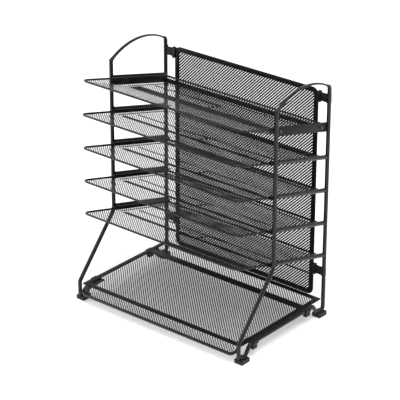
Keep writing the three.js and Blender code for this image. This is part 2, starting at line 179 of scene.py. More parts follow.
def noise(tree, place, scale, detail=2.0, roughness=0.5):
    made = node(tree, "ShaderNodeTexNoise", Detail=detail, Roughness=roughness)
    tree.links.new(place, made.inputs["Vector"])
    if isinstance(scale, (int, float)):
        made.inputs["Scale"].default_value = scale
    else:
        tree.links.new(scale, made.inputs["Scale"])
    return made.outputs["Fac"]


def ramp(tree, value, low, high):
    made = node(tree, "ShaderNodeMapRange")
    made.inputs["From Min"].default_value = low
    made.inputs["From Max"].default_value = high
    tree.links.new(value, made.inputs["Value"])
    return made.outputs["Result"]


def powder_grain_group():
    """The pebbled skin of a baked coat: fine grain over soft orange peel."""
    group, given, out = open_group(
        "powder_grain",
        [("Place", "NodeSocketVector", (0, 0, 0)), ("Grain Scale", "NodeSocketFloat", 1500.0)],
        [("Height", "NodeSocketFloat"), ("Patch", "NodeSocketFloat")],
    )
    place_in = given.outputs["Place"]
    fine = noise(group, place_in, given.outputs["Grain Scale"], 3.0, 0.6)
    peel_scale = math_node(group, "MULTIPLY", given.outputs["Grain Scale"], 0.22)
    peel = noise(group, place_in, peel_scale, 1.0)
    patch_scale = math_node(group, "MULTIPLY", given.outputs["Grain Scale"], 0.012)
    patch = noise(group, place_in, patch_scale, 3.0, 0.55)
    soft = math_node(group, "MULTIPLY", peel, 0.8)
    height = math_node(group, "ADD", math_node(group, "MULTIPLY", fine, 0.35), soft)
    group.links.new(height, out.inputs["Height"])
    group.links.new(ramp(group, patch, 0.3, 0.7), out.inputs["Patch"])
    return group


def rubbed_edge_group():
    """Where a coat is rubbed thin: sharp convex edges, broken up by noise."""
    group, given, out = open_group(
        "rubbed_edge",
        [("Place", "NodeSocketVector", (0, 0, 0)), ("Reach", "NodeSocketFloat", 0.56)],
        [("Mask", "NodeSocketFloat")],
    )
    shape = group.nodes.new("ShaderNodeNewGeometry")
    patches = noise(group, given.outputs["Place"], 160.0, 4.0, 0.65)
    edge = math_node(group, "SUBTRACT", shape.outputs["Pointiness"], given.outputs["Reach"])
    edge = math_node(group, "MULTIPLY", edge, 9.0, clamp=True)
    broken = math_node(group, "MULTIPLY", edge, ramp(group, patches, 0.45, 0.7), clamp=True)
    group.links.new(broken, out.inputs["Mask"])
    return group


def settled_dust_group():
    """Dust that lies on upward faces, thicker in patches."""
    group, given, out = open_group(
        "settled_dust",
        [("Place", "NodeSocketVector", (0, 0, 0)), ("Amount", "NodeSocketFloat", 0.3)],
        [("Mask", "NodeSocketFloat")],
    )
    shape = group.nodes.new("ShaderNodeNewGeometry")
    split = group.nodes.new("ShaderNodeSeparateXYZ")
    group.links.new(shape.outputs["Normal"], split.inputs[0])
    upward = ramp(group, split.outputs["Z"], 0.35, 1.0)
    patches = ramp(group, noise(group, given.outputs["Place"], 45.0, 5.0, 0.7), 0.35, 0.75)
    lying = math_node(group, "MULTIPLY", upward, patches)
    amount = math_node(group, "MULTIPLY", lying, given.outputs["Amount"], clamp=True)
    group.links.new(amount, out.inputs["Mask"])
    return group


POWDER_GRAIN = powder_grain_group()
RUBBED_EDGE = rubbed_edge_group()
SETTLED_DUST = settled_dust_group()


def group_node(tree, group, place_socket, **values):
    made = tree.nodes.new("ShaderNodeGroup")
    made.node_tree = group
    tree.links.new(place_socket, made.inputs["Place"])
    for name, value in values.items():
        made.inputs[name.replace("_", " ")].default_value = value
    return made


def mix_colour(tree, factor, first, second):
    made = tree.nodes.new("ShaderNodeMix")
    made.data_type = "RGBA"
    tree.links.new(factor, made.inputs["Factor"])
    for socket, value in (("A", first), ("B", second)):
        target = [i for i in made.inputs if i.name == socket and i.type == "RGBA"][0]
        if isinstance(value, tuple):
            target.default_value = (*value, 1)
        else:
            tree.links.new(value, target)
    return [o for o in made.outputs if o.type == "RGBA"][0]


def coated(name, dark, light, roughness, grain_scale, bump, dust, worn=(0.06, 0.06, 0.063),
           metallic=0.0, specular=0.22):
    """A finish with patchy tone, grain bump, rubbed edges and a little dust."""
    material = bpy.data.materials.new(name)
    material.use_nodes = True
    tree = material.node_tree
    shader = tree.nodes["Principled BSDF"]
    place_socket = tree.nodes.new("ShaderNodeTexCoord").outputs["Object"]
    grain = group_node(tree, POWDER_GRAIN, place_socket, Grain_Scale=grain_scale)
    rubbed = group_node(tree, RUBBED_EDGE, place_socket)
    dusty = group_node(tree, SETTLED_DUST, place_socket, Amount=dust)
    tone = mix_colour(tree, grain.outputs["Patch"], dark, light)
    tone = mix_colour(tree, rubbed.outputs["Mask"], tone, worn)
    tone = mix_colour(tree, dusty.outputs["Mask"], tone, (0.1, 0.098, 0.095))
    tree.links.new(tone, shader.inputs["Base Color"])
    low, high = roughness
    rough = math_node(tree, "MULTIPLY", grain.outputs["Patch"], high - low)
    rough = math_node(tree, "ADD", rough, low)
    dust_rough = math_node(tree, "MULTIPLY", dusty.outputs["Mask"], 0.3)
    rough = math_node(tree, "ADD", rough, dust_rough, clamp=True)
    tree.links.new(rough, shader.inputs["Roughness"])
    shader.inputs["Metallic"].default_value = metallic
    shader.inputs["Specular IOR Level"].default_value = specular
    skin = node(tree, "ShaderNodeBump", Strength=bump, Distance=0.00012)
    tree.links.new(grain.outputs["Height"], skin.inputs["Height"])
    tree.links.new(skin.outputs["Normal"], shader.inputs["Normal"])
    return material


TUBE_COAT = coated(
    "powder_coated_tube", (0.004, 0.004, 0.0042), (0.007, 0.007, 0.0073), (0.16, 0.28),
    1300.0, 0.3, 0.04, specular=0.34)
SHEET_COAT = coated(
    "powder_coated_sheet", (0.005, 0.005, 0.0053), (0.009, 0.009, 0.0095), (0.34, 0.5),
    1500.0, 0.45, 0.06, specular=0.14)
MESH_COAT = coated(
    "powder_coated_mesh", (0.005, 0.005, 0.0053), (0.009, 0.009, 0.0095), (0.36, 0.5),
    1700.0, 0.4, 0.08)
PLASTIC = coated(
    "moulded_black_plastic", (0.004, 0.004, 0.004), (0.007, 0.007, 0.007), (0.42, 0.55),
    2400.0, 0.3, 0.08, worn=(0.05, 0.05, 0.05))
SCREW_STEEL = coated(
    "blackened_screw_steel", (0.05, 0.05, 0.052), (0.11, 0.11, 0.112), (0.25, 0.4),
    2600.0, 0.2, 0.05, worn=(0.45, 0.45, 0.46), metallic=1.0)
WELD_COAT = coated(
    "coated_weld", (0.005, 0.005, 0.0053), (0.009, 0.009, 0.0095), (0.3, 0.45),
    900.0, 0.8, 0.04)


# ---- making a piece ----

def place(bm):
    bmesh.ops.scale(bm, vec=(MM, MM, MM), verts=bm.verts)
    bmesh.ops.translate(bm, vec=(0, POST_PLANE * MM, 0), verts=bm.verts)


def make_piece(name, bm, body, material, replaces=(), sharp=35.0):
    bmesh.ops.recalc_face_normals(bm, faces=bm.faces)
    limit = math.radians(sharp)
    for face in bm.faces:
        face.smooth = True
    for edge in bm.edges:
        edge.smooth = edge.calc_face_angle(0.0) < limit
    place(bm)
    mesh = bpy.data.meshes.new(name)
    bm.to_mesh(mesh)
    bm.free()
    mesh.materials.append(material)
    piece = bpy.data.objects.new(name, mesh)
    bpy.context.scene.collection.objects.link(piece)
    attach(piece, body)
    for cad_node in replaces:
        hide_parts(cad_node)
    return piece


def bent(corners, radii, step=0.16):
    """A route through corners, each rounded to its radius; a radius of 0 keeps the corner."""
    corners = [Vector(c) for c in corners]
    route = [corners[0]]
    for before, here, after, radius in zip(corners, corners[1:], corners[2:], radii):
        back, on = (before - here).normalized(), (after - here).normalized()
        opening = back.angle(on)
        turn = math.pi - opening
        if radius == 0 or turn < 0.001:
            route.append(here)
            continue
        centre = here + (back + on).normalized() * (radius / math.sin(opening / 2))
        spoke = here + back * (radius / math.tan(opening / 2)) - centre
        axis = (-back).cross(on).normalized()
        steps = max(3, math.ceil(turn / step))
        for k in range(steps + 1):
            route.append(centre + Matrix.Rotation(turn * k / steps, 3, axis) @ spoke)
    route.append(corners[-1])
    return route


def sweep(bm, route, radius, sides=16, closed=False):
    """A round bar along a route: a ring is extruded from point to point and turned with it."""
    count = len(route)
    spans = [(route[(i + 1) % count] - route[i]).normalized() for i in range(count)]
    if not closed:
        spans[-1] = spans[-2]
    arriving = [spans[i - 1] if (closed or i) else spans[0] for i in range(count)]
    headings = [(a + b).normalized() for a, b in zip(arriving, spans)]
    aim = headings[0].to_track_quat("Z", "Y").to_matrix().to_4x4()
    first = bmesh.ops.create_circle(bm, segments=sides, radius=radius,
                                    matrix=Matrix.Translation(route[0]) @ aim)["verts"]
    offsets = [v.co - route[0] for v in first]
    first_edges = list({e for v in first for e in v.link_edges})
    ring, edges, rings = first, first_edges, [first]
    for i in range(1, count):
        turn = headings[i - 1].rotation_difference(headings[i])
        offsets = [turn @ o for o in offsets]
        made = bmesh.ops.extrude_edge_only(bm, edges=edges)["geom"]
        edges = [g for g in made if isinstance(g, bmesh.types.BMEdge)]
        grown = {v for v in made if isinstance(v, bmesh.types.BMVert)}
        ring = [next(e.other_vert(v) for e in v.link_edges if e.other_vert(v) in grown)
                for v in ring]
        edges = [e for e in edges if e.verts[0] in grown and e.verts[1] in grown]
        bend = arriving[i] - spans[i]
        half = math.cos(arriving[i].angle(spans[i]) / 2)
        across = bend.normalized() if bend.length > 1e-6 else Vector()
        for v, o in zip(ring, offsets):
            v.co = route[i] + o + across * (o.dot(across) * (1 / half - 1))
        rings.append(ring)
    if closed:
        bmesh.ops.bridge_loops(bm, edges=first_edges + edges)
    else:
        bmesh.ops.contextual_create(bm, geom=first_edges)
        bmesh.ops.contextual_create(bm, geom=edges)
    return rings


def bar(bm, start, end, radius, sides=16):
    start, end = Vector(start), Vector(end)
    aim = (end - start).to_track_quat("Z", "Y").to_matrix().to_4x4()
    middle = Matrix.Translation((start + end) / 2)
    return bmesh.ops.create_cone(bm, cap_ends=True, segments=sides, radius1=radius, radius2=radius,
                                 depth=(end - start).length, matrix=middle @ aim)["verts"]


def block(bm, low, high, matrix=None, bevel=0.0, segments=2):
    """A box from corner to corner, its edges rounded, placed by matrix."""
    low, high = Vector(low), Vector(high)
    size = high - low
    shape = Matrix.Translation((low + high) / 2) @ Matrix.Diagonal((*size, 1))
    verts = bmesh.ops.create_cube(bm, size=1, matrix=shape)["verts"]
    if bevel:
        edges = list({e for v in verts for e in v.link_edges})
        made = bmesh.ops.bevel(bm, geom=edges, offset=bevel, affect="EDGES", segments=segments,
                               profile=0.5, material=-1)
        verts = list(set(made["verts"]) | {v for v in verts if v.is_valid})
    if matrix is not None:
        bmesh.ops.transform(bm, matrix=matrix, verts=verts)
    return verts


def is_level(edge):
    return abs(edge.verts[0].co.z - edge.verts[1].co.z) < 1e-6


def plate(bm, outline, thickness, matrix, bevel=0.0):
    """A flat shape drawn in XY, raised along Z, its rims rounded, placed by matrix."""
    verts = [bm.verts.new((x, y, 0)) for x, y in outline]
    face = bm.faces.new(verts)
    made = bmesh.ops.extrude_face_region(bm, geom=[face])["geom"]
    top = [g for g in made if isinstance(g, bmesh.types.BMVert)]
    bmesh.ops.translate(bm, vec=(0, 0, thickness), verts=top)
    every = verts + top
    if bevel:
        rims = {e for v in every for e in v.link_edges if is_level(e)}
        made = bmesh.ops.bevel(bm, geom=list(rims), offset=bevel, affect="EDGES", segments=2,
                               profile=0.5, material=-1)
        every = [v for v in every if v.is_valid] + made["verts"]
    bmesh.ops.transform(bm, matrix=matrix, verts=list(set(every)))


def rounded(left, bottom, right, top, radii, steps=6):
    """Points round a rectangle, anticlockwise, with a radius for each corner."""
    centres = (
        (left, bottom, 1, 1, math.pi), (right, bottom, -1, 1, 1.5 * math.pi),
        (right, top, -1, -1, 0.0), (left, top, 1, -1, 0.5 * math.pi),
    )
    points = []
    for (x, y, inx, iny, start), radius in zip(centres, radii):
        if radius == 0:
            points.append((x, y))
            continue
        for k in range(steps + 1):
            angle = start + k * math.pi / 2 / steps
            points.append((x + inx * radius + radius * math.cos(angle),
                           y + iny * radius + radius * math.sin(angle)))
    return points


def ring_plate(bm, outer, inner, thickness, matrix, bevel=0.0):
    """A flat frame between two outlines of the same number of points."""
    loops = []
    for outline in (outer, inner):
        verts = [bm.verts.new((x, y, 0)) for x, y in outline]
        edges = [bm.edges.new((a, b)) for a, b in zip(verts, verts[1:] + verts[:1])]
        loops.append((verts, edges))
    bridged = bmesh.ops.bridge_loops(bm, edges=loops[0][1] + loops[1][1])["faces"]
    made = bmesh.ops.extrude_face_region(bm, geom=bridged)["geom"]
    top = [g for g in made if isinstance(g, bmesh.types.BMVert)]
    bmesh.ops.translate(bm, vec=(0, 0, thickness), verts=top)
    every = loops[0][0] + loops[1][0] + top
    if bevel:
        own = set(every)
        rims = [e for v in every for e in v.link_edges
                if e.calc_face_angle(0.0) > 1 and is_level(e)
                and e.verts[0] in own and e.verts[1] in own]
        made = bmesh.ops.bevel(bm, geom=list(set(rims)), offset=bevel, affect="EDGES", segments=2,
                               profile=0.5, material=-1)
        every = [v for v in every if v.is_valid] + made["verts"]
    bmesh.ops.transform(bm, matrix=matrix, verts=list(set(every)))


def clip_line(start, along, outline):
    """How far a line runs inside a convex anticlockwise outline: two distances, or None."""
    low, high = -1e9, 1e9
    for (ax, ay), (bx, by) in zip(outline, outline[1:] + outline[:1]):
        inward = Vector((ay - by, bx - ax))
        speed = inward.dot(along)
        reach = inward.dot(start - Vector((ax, ay)))
        if abs(speed) < 1e-9:
            if reach < 0:
                return None
            continue
        hit = -reach / speed
        if speed > 0:
            low = max(low, hit)
        else:
            high = min(high, hit)
    return (low, high) if high - low > 0.6 else None


STRAND_THICKNESS = 0.14
TRAY_STRANDS = (1.45, 0.5)
PANEL_STRANDS = (2.3, 0.5)


def lattice(bm, outline, matrix, lean=1, widths=TRAY_STRANDS, pitch=MESH_PITCH):
    """Diamond mesh inside a convex XY outline: two families of flat strands that cross."""
    xs = [x for x, _ in outline]
    ys = [y for _, y in outline]
    middle = Vector(((min(xs) + max(xs)) / 2, (min(ys) + max(ys)) / 2))
    reach = int((max(xs) - min(xs) + max(ys) - min(ys)) / pitch / 2) + 2
    for family, width in ((lean, widths[0]), (-lean, widths[1])):
        along = Vector((1, family)).normalized()
        for k in range(-reach, reach + 1):
            start = middle + Vector(((k + 0.5) * pitch, 0))
            span = clip_line(start, along, outline)
            if span is None:
                continue
            a, b = start + along * span[0], start + along * span[1]
            heading = Matrix.Rotation(math.atan2(along.y, along.x), 4, "Z")
            turn = heading @ Matrix.Rotation(math.pi / 2, 4, "Y")
            half_thickness = STRAND_THICKNESS / 2 + 0.02 * (family == lean)
            shape = Matrix.Diagonal((half_thickness, width / 2, 1, 1))
            spot = Matrix.Translation(((a.x + b.x) / 2, (a.y + b.y) / 2, 0))
            bmesh.ops.create_cone(bm, cap_ends=True, segments=6, radius1=1.1, radius2=1.1,
                                  depth=(b - a).length, matrix=matrix @ spot @ turn @ shape)


def weld_bead(bm, centre, direction, inner, dice, bead=0.85, sides=18):
    """A lumpy ring of weld round a joint."""
    direction = Vector(direction).normalized()
    turn = direction.to_track_quat("Z", "Y").to_matrix().to_4x4()
    aim = Matrix.Translation(Vector(centre)) @ turn
    profile = bmesh.ops.create_circle(bm, segments=6, radius=bead,
                                      matrix=aim @ Matrix.Translation((inner, 0, 0))
                                      @ Matrix.Rotation(math.pi / 2, 4, "X"))["verts"]
    geom = profile + list({e for v in profile for e in v.link_edges})
    before = set(bm.verts)
    bmesh.ops.spin(bm, geom=geom, cent=Vector(centre), axis=direction, angle=2 * math.pi,
                   steps=sides, use_merge=True)
    for v in (set(bm.verts) - before) | {v for v in profile if v.is_valid}:
        v.co += Vector([dice.uniform(-0.12, 0.12) for _ in range(3)])


# ---- side frames ----

HALF_DEPTH = POST_DEPTH / 2
ARCH_RADIUS = (ARCH_RISE ** 2 + HALF_DEPTH ** 2) / (2 * ARCH_RISE)
ARCH_ANGLE = math.asin(HALF_DEPTH / ARCH_RADIUS)
ARCH_CENTRE = POST_TOP + ARCH_RISE - ARCH_RADIUS


def hoop_route(x):
    arch = []
    for k in range(1, 28):
        angle = -ARCH_ANGLE + 2 * ARCH_ANGLE * k / 28
        arch.append((x, HALF_DEPTH + ARCH_RADIUS * math.sin(angle),
                     ARCH_CENTRE + ARCH_RADIUS * math.cos(angle)))
    corners = [
        (x, -FOOT_REACH, HOOP_END - 0.3), (x, -FOOT_REACH, LEG_FOOT), (x, 0, LEG_TOP),
        (x, 0, POST_TOP - 5), (x, 0, POST_TOP), *arch, (x, POST_DEPTH, POST_TOP),
        (x, POST_DEPTH, HOOP_END - 0.3),
    ]
    return bent(corners, [6, 22, 0, 0.0, *[0] * len(arch), 6.5])


def flatten_arch(bm):
    """Presses the tube towards the arch's centre line, easing in from the posts."""
    for v in bm.verts:
        if v.co.z < POST_TOP - 4:
            continue
        dy, dz = v.co.y - HALF_DEPTH, v.co.z - ARCH_CENTRE
        share = min(max((ARCH_ANGLE - abs(math.atan2(dy, dz))) / 0.07, 0), 1)
        press = share * share * (3 - 2 * share) * (1 - ARCH_HALF_THICKNESS / TUBE)
        radius = math.hypot(dy, dz)
        moved = (radius - (radius - ARCH_RADIUS) * press) / radius
        v.co.y = HALF_DEPTH + dy * moved
        v.co.z = ARCH_CENTRE + dz * moved


def foot_rail_route(x):
    foot = [(-FOOT_REACH, HOOP_END - 0.3), (-FOOT_REACH, FOOT_TUBE), (-FOOT_REACH + 15, FOOT_TUBE),
            (-FOOT_REACH + 27, RAIL)]
    rear = [(POST_DEPTH - FOOT_REACH - y, z) for y, z in foot][::-1]
    return bent([(x, y, z) for y, z in foot + rear], [7, 6.5, 5, 5, 6.5, 7], 0.2)


def side_frames():
    dice = random.Random(11)
    for side, sign in SIDES:
        x = sign * SIDE_X
        bm = bmesh.new()
        sweep(bm, hoop_route(x), TUBE, 20)
        flatten_arch(bm)
        make_piece(f"{side}_hoop", bm, "frame", TUBE_COAT,
                   [f"{side}_side_hoop"])
        bm = bmesh.new()
        sweep(bm, foot_rail_route(x), TUBE, 20)
        make_piece(f"{side}_rail", bm, "frame", TUBE_COAT,
                   [f"{side}_foot_rail"])
        bm = bmesh.new()
        for y in (-FOOT_REACH, POST_DEPTH):
            weld_bead(bm, (x, y, HOOP_END - 0.3), (0, 0, 1), TUBE - 0.35, dice, 0.55, 20)
        make_piece(f"{side}_foot_welds", bm, "frame", WELD_COAT, sharp=80)
        for index in range(4):
            rung(side, sign, index, dice)


def rung(side, sign, index, dice):
    height = RUNG - RUNG_PITCH * index
    x = sign * SIDE_X
    drop = POST_DEPTH * math.tan(TILT)
    front, rear = Vector((x, 0, height)), Vector((x, POST_DEPTH, height - drop))
    along = (rear - front).normalized()
    bm = bmesh.new()
    bar(bm, front + along * 1.5, rear - along * 1.5, TUBE, 20)
    make_piece(f"{side}_rung_bar_{index + 2}", bm, "frame", TUBE_COAT,
               [f"{side}_rung_{index + 2}"])
    bm = bmesh.new()
    weld_bead(bm, front + along * (TUBE + 0.5), along, TUBE - 0.1, dice)
    weld_bead(bm, rear - along * (TUBE + 0.5), along, TUBE - 0.1, dice)
    make_piece(f"{side}_rung_welds_{index + 2}", bm, "frame", WELD_COAT,
               sharp=80)


# ---- trays ----

def tray_matrix(height, tilt):
    return Matrix.Translation((0, 0, height)) @ Matrix.Rotation(-tilt, 4, "X")


def rim_route(half_width, front, rear, matrix):
    corners = [(0, rear, 0), (-half_width, rear, 0), (-half_width, front, 0),
               (half_width, front, 0), (half_width, rear, 0), (0.01, rear, 0)]
    route = bent(corners, [REAR_CORNER, FRONT_CORNER, FRONT_CORNER, REAR_CORNER], 0.2)[:-1]
    return [matrix @ p for p in route]


def plane_matrix(origin, across, up):
    """Places a flat drawing: X along across, Y along up, Z out of the sheet."""
    across, up = Vector(across).normalized(), Vector(up).normalized()
    out = across.cross(up)
    turn = Matrix((across, up, out)).transposed().to_4x4()
    return Matrix.Translation(origin) @ turn


def basket(bm, half_width, front, rear, matrix, depth, ramp_end):
    """The mesh tray: ramp, floor and low walls, each a flat run of diamond mesh."""
    corner = FRONT_CORNER - WIRE
    bed = MESH_HALF_SHEET - depth
    floor = [(-half_width, ramp_end), (half_width, ramp_end), (half_width, rear),
             (-half_width, rear)]
    lattice(bm, floor, matrix @ Matrix.Translation((0, 0, bed)), lean=-1, widths=TRAY_STRANDS)
    run = ramp_end - front
    length = math.hypot(run, bed)
    ramp_plane = matrix @ plane_matrix((0, front, 0), (1, 0, 0), (0, run, bed))
    ramp_outline = rounded(-half_width, 0, half_width, length, (corner, corner, 0, 0), 4)
    lattice(bm, ramp_outline, ramp_plane, lean=-1, widths=TRAY_STRANDS)
    wall = [(ramp_end, bed), (rear, bed), (rear, 0), (front + 4, 0)]
    for sign in (-1, 1):
        side_plane = matrix @ plane_matrix((sign * (half_width - 0.4), 0, 0), (0, 1, 0), (0, 0, 1))
        lattice(bm, wall, side_plane, widths=TRAY_STRANDS)
    back_plane = matrix @ plane_matrix((0, rear - 0.4, 0), (1, 0, 0), (0, 0, 1))
    lattice(bm, [(-half_width, bed), (half_width, bed), (half_width, 0), (-half_width, 0)],
            back_plane, widths=TRAY_STRANDS)


def crease_strips(bm, half_width, rear, matrix, depth, ramp_end):
    """The folded edges where the tray's floor turns up into its walls, kept solid."""
    for sign in (-1, 1):
        x = sign * half_width
        block(bm, (min(x, x - sign * 1.6), ramp_end, -depth - 0.1),
              (max(x, x - sign * 1.6), rear, 0.9 - depth), matrix, 0.3)
    block(bm, (-half_width, rear - 1.6, -depth - 0.1), (half_width, rear, 0.9 - depth), matrix,
          0.3)


def stiffener(bm, half_width, matrix):
    """Bars under a sliding tray's floor: a broad one, a narrow one and a tie."""
    top = -BASKET - WELD_GAP
    for start, width in ((BROAD_BAR, BROAD_WIDTH), (NARROW_BAR, NARROW_WIDTH)):
        block(bm, (-half_width, start, top - BAR_SHEET), (half_width, start + width, top),
              matrix, 0.3)
    block(bm, (-1.5, BROAD_BAR + 4, top - BAR_SHEET + 0.02), (1.5, NARROW_BAR + 1, top - 0.02),
          matrix, 0.3)


def top_floor_strips(bm, half_width, matrix):
    """Strips under the top tray's floor: a wide one, a half-length one and a tie."""
    top = -TOP_BASKET - WELD_GAP
    block(bm, (-half_width, TOP_BROAD_BAR, top - BAR_SHEET),
          (half_width, TOP_BROAD_BAR + TOP_BROAD_WIDTH, top), matrix, 0.3)
    block(bm, (-half_width, TOP_NARROW_BAR, top - BAR_SHEET),
          (TOP_BAR_END, TOP_NARROW_BAR + NARROW_WIDTH, top), matrix, 0.3)
    block(bm, (TOP_BAR_END - NARROW_WIDTH, TOP_BROAD_BAR + TOP_BROAD_WIDTH / 2,
               top - BAR_SHEET + 0.02),
          (TOP_BAR_END, TOP_NARROW_BAR + NARROW_WIDTH / 2, top - 0.02), matrix, 0.3)


def tray(label, body, half_width, front, rear, matrix, depth, ramp_end):
    inset = WIRE + WELD_GAP
    inner = half_width - inset
    bm = bmesh.new()
    sweep(bm, rim_route(half_width, front, rear, matrix), WIRE, 12, closed=True)
    make_piece(f"{label}_rim", bm, body, TUBE_COAT, [f"{label}_rim_wire"])
    bm = bmesh.new()
    basket(bm, inner, front + inset - 0.6, rear - inset, matrix, depth, ramp_end)
    crease_strips(bm, inner, rear - inset, matrix, depth, ramp_end)
    make_piece(f"{label}_diamond_mesh", bm, body, MESH_COAT,
               [f"{label}_mesh_basket"], 50)
    bm = bmesh.new()
    if depth == BASKET:
        stiffener(bm, inner - 6, matrix)
    else:
        top_floor_strips(bm, inner - 4, matrix)
    make_piece(f"{label}_floor_bars", bm, body, SHEET_COAT,
               [f"{label}_stiffener"])


def trays():
    for index in range(4):
        height = RUNG - RUNG_PITCH * index - TRAY_DROP / math.cos(TILT)
        tray(f"tray_{index + 2}", f"tray_{index + 2}", TRAY_HALF_WIDTH, TRAY_FRONT, TRAY_REAR,
             tray_matrix(height, TILT), BASKET, FLOOR_START)
    top = tray_matrix(TOP_RIM, TILT)
    tray("top_tray", "frame", TOP_HALF_WIDTH, TOP_FRONT, TOP_REAR, top, TOP_BASKET,
         TOP_FLOOR_START)
    collar(top)
    for side, sign in SIDES:
        side_plate(side, sign)


def collar(matrix):
    """The sheet band round the top tray's sides and rear."""
    outside = PLATE_X - 1 - WELD_GAP
    rear = TOP_REAR + WIRE + WELD_GAP + COLLAR_SHEET
    bm = bmesh.new()
    for sign in (-1, 1):
        x0, x1 = sorted((sign * outside, sign * (outside - COLLAR_SHEET)))
        block(bm, (x0, TUBE + 3, COLLAR_LOW), (x1, rear, COLLAR_HIGH), matrix, 0.35)
    block(bm, (-outside, rear - COLLAR_SHEET, COLLAR_REAR_LOW), (outside, rear, COLLAR_REAR_HIGH),
          matrix, 0.35)
    make_piece("top_tray_band", bm, "frame", SHEET_COAT,
               ["top_tray_collar"])


def side_plate(side, sign):
    """The plate between two posts, and the two screws through it."""
    x = sign * PLATE_X
    drop = math.tan(TILT)
    low, high = TUBE * 0.7, POST_DEPTH - TUBE * 0.7
    bottom = PLATE_TOP - PLATE_HEIGHT
    outline = [(low, bottom - low * drop), (high, bottom - high * drop),
               (high, PLATE_TOP - high * drop), (low, PLATE_TOP - low * drop)]
    bm = bmesh.new()
    plate(bm, outline, 2, plane_matrix((x - 1, 0, 0), (0, 1, 0), (0, 0, 1)), 0.45)
    make_piece(f"{side}_band_plate", bm, "frame", SHEET_COAT,
               [f"{side}_top_plate"])
    for place_name, y in (("front", 10.5), ("rear", POST_DEPTH - 17)):
        z = PLATE_TOP - PLATE_HEIGHT / 2 - y * drop
        screw(f"{side}_{place_name}_band_screw", (x + sign * 1.0, y, z), (sign, 0, 0), 2.9,
              [f"{side}_{place_name}_plate_screw"])


def screw(name, seat, direction, radius, replaces=()):
    """A pan-head screw: a domed head with a raised cross on it, on its flange."""
    seat, direction = Vector(seat), Vector(direction)
    aim = Matrix.Translation(seat) @ direction.to_track_quat("Z", "Y").to_matrix().to_4x4()
    bm = bmesh.new()
    profile = [(0.0, 0.0), (radius, 0.0), (radius, 0.55), (radius * 0.86, 1.15),
               (radius * 0.55, 1.75), (radius * 0.25, 1.95), (0.0, 2.0)]
    verts = [bm.verts.new((r, 0, z)) for r, z in profile]
    edges = [bm.edges.new(pair) for pair in zip(verts, verts[1:])]
    bmesh.ops.spin(bm, geom=verts + edges, cent=(0, 0, 0), axis=(0, 0, 1), angle=2 * math.pi,
                   steps=24, use_merge=True)
    bmesh.ops.remove_doubles(bm, verts=bm.verts, dist=0.01)
    for turn in (0, math.pi / 2):
        block(bm, (-radius * 0.5, -0.28, 1.2), (radius * 0.5, 0.28, 2.12),
              Matrix.Rotation(turn, 4, "Z"), 0.1, 1)
    bmesh.ops.transform(bm, matrix=aim, verts=bm.verts)
    make_piece(name, bm, "frame", SCREW_STEEL, replaces)


# ---- back panel ----

def back_panel():
    low, high = -PANEL_HALF_WIDTH, PANEL_HALF_WIDTH
    corner = [PANEL_CORNER] * 4
    outer = rounded(low, PANEL_BOTTOM, high, PANEL_TOP, corner, 8)
    inner = rounded(low + PANEL_BORDER, PANEL_BOTTOM + PANEL_BORDER, high - PANEL_BORDER,
                    PANEL_TOP - PANEL_BORDER, [PANEL_CORNER - PANEL_BORDER] * 4, 8)
    upright = plane_matrix((0, POST_DEPTH + PANEL_THICKNESS / 2, 0), (1, 0, 0), (0, 0, 1))
    bm = bmesh.new()
    ring_plate(bm, outer, inner, PANEL_THICKNESS, upright, 0.7)
    make_piece("back_panel_hem", bm, "frame", SHEET_COAT,
               ["back_panel_border"], 50)
    bm = bmesh.new()
    sheet = plane_matrix((0, POST_DEPTH, 0), (1, 0, 0), (0, 0, 1))
    reach = PANEL_BORDER - 1
    outline = rounded(low + reach, PANEL_BOTTOM + reach, high - reach, PANEL_TOP - reach,
                      [4] * 4, 3)
    lattice(bm, outline, sheet, widths=PANEL_STRANDS)
    make_piece("back_panel_diamond_mesh", bm, "frame", MESH_COAT,
               ["back_panel_mesh"], 50)
    bm = bmesh.new()
    edge = PANEL_HALF_WIDTH - PANEL_BORDER + 2
    y = POST_DEPTH - 2
    bar(bm, (-edge, y, CROSS_WIRE_HEIGHT), (edge, y, CROSS_WIRE_HEIGHT), CROSS_WIRE, 12)
    make_piece("back_panel_wire", bm, "frame", TUBE_COAT,
               ["back_panel_cross_wire"])


def panel_clips():
    for level, height in (("upper", UPPER_CLIP), ("lower", LOWER_CLIP)):
        for side, sign in SIDES:
            panel_clip(f"{level}_{side}", sign, height)


def panel_clip(label, sign, height):
    """Saddle behind the post, ribbed web, and a pair of jaws that grip the panel's edge."""
    edge = PANEL_HALF_WIDTH
    gap, jaw, spine, web = CLIP_HALF_GAP, CLIP_HALF_JAW, CLIP_HALF_SPINE, CLIP_HALF_WEB
    bm = bmesh.new()
    turn = Matrix.Translation((0, POST_DEPTH, height)) @ Matrix.Diagonal((sign, 1, 1, 1))
    outline = rounded(edge - 1.6, -jaw, edge + 5, jaw, (1, 3.5, 3.5, 1), 5)
    for y0, y1 in ((-gap - CLIP_WALL, -gap), (gap, gap + CLIP_WALL)):
        plate(bm, outline, y1 - y0, turn @ plane_matrix((0, y1, 0), (1, 0, 0), (0, 0, 1)), 0.45)
    block(bm, (edge + 0.4, -gap - 1.2, -spine), (edge + 4.6, gap + 1.2, spine), turn, 0.4)
    block(bm, (edge + 4, -CLIP_WALL, -web), (SIDE_X - TUBE - 0.1, CLIP_WALL, web), turn, 0.4)
    for z in CLIP_RIBS:
        block(bm, (edge + 4, -2.5, z - 0.55), (SIDE_X - TUBE - 0.6, 2.5, z + 0.55), turn, 0.25)
    saddle(bm, turn)
    make_piece(f"{label}_clip", bm, "frame", PLASTIC, [f"{label}_panel_clip"], 40)


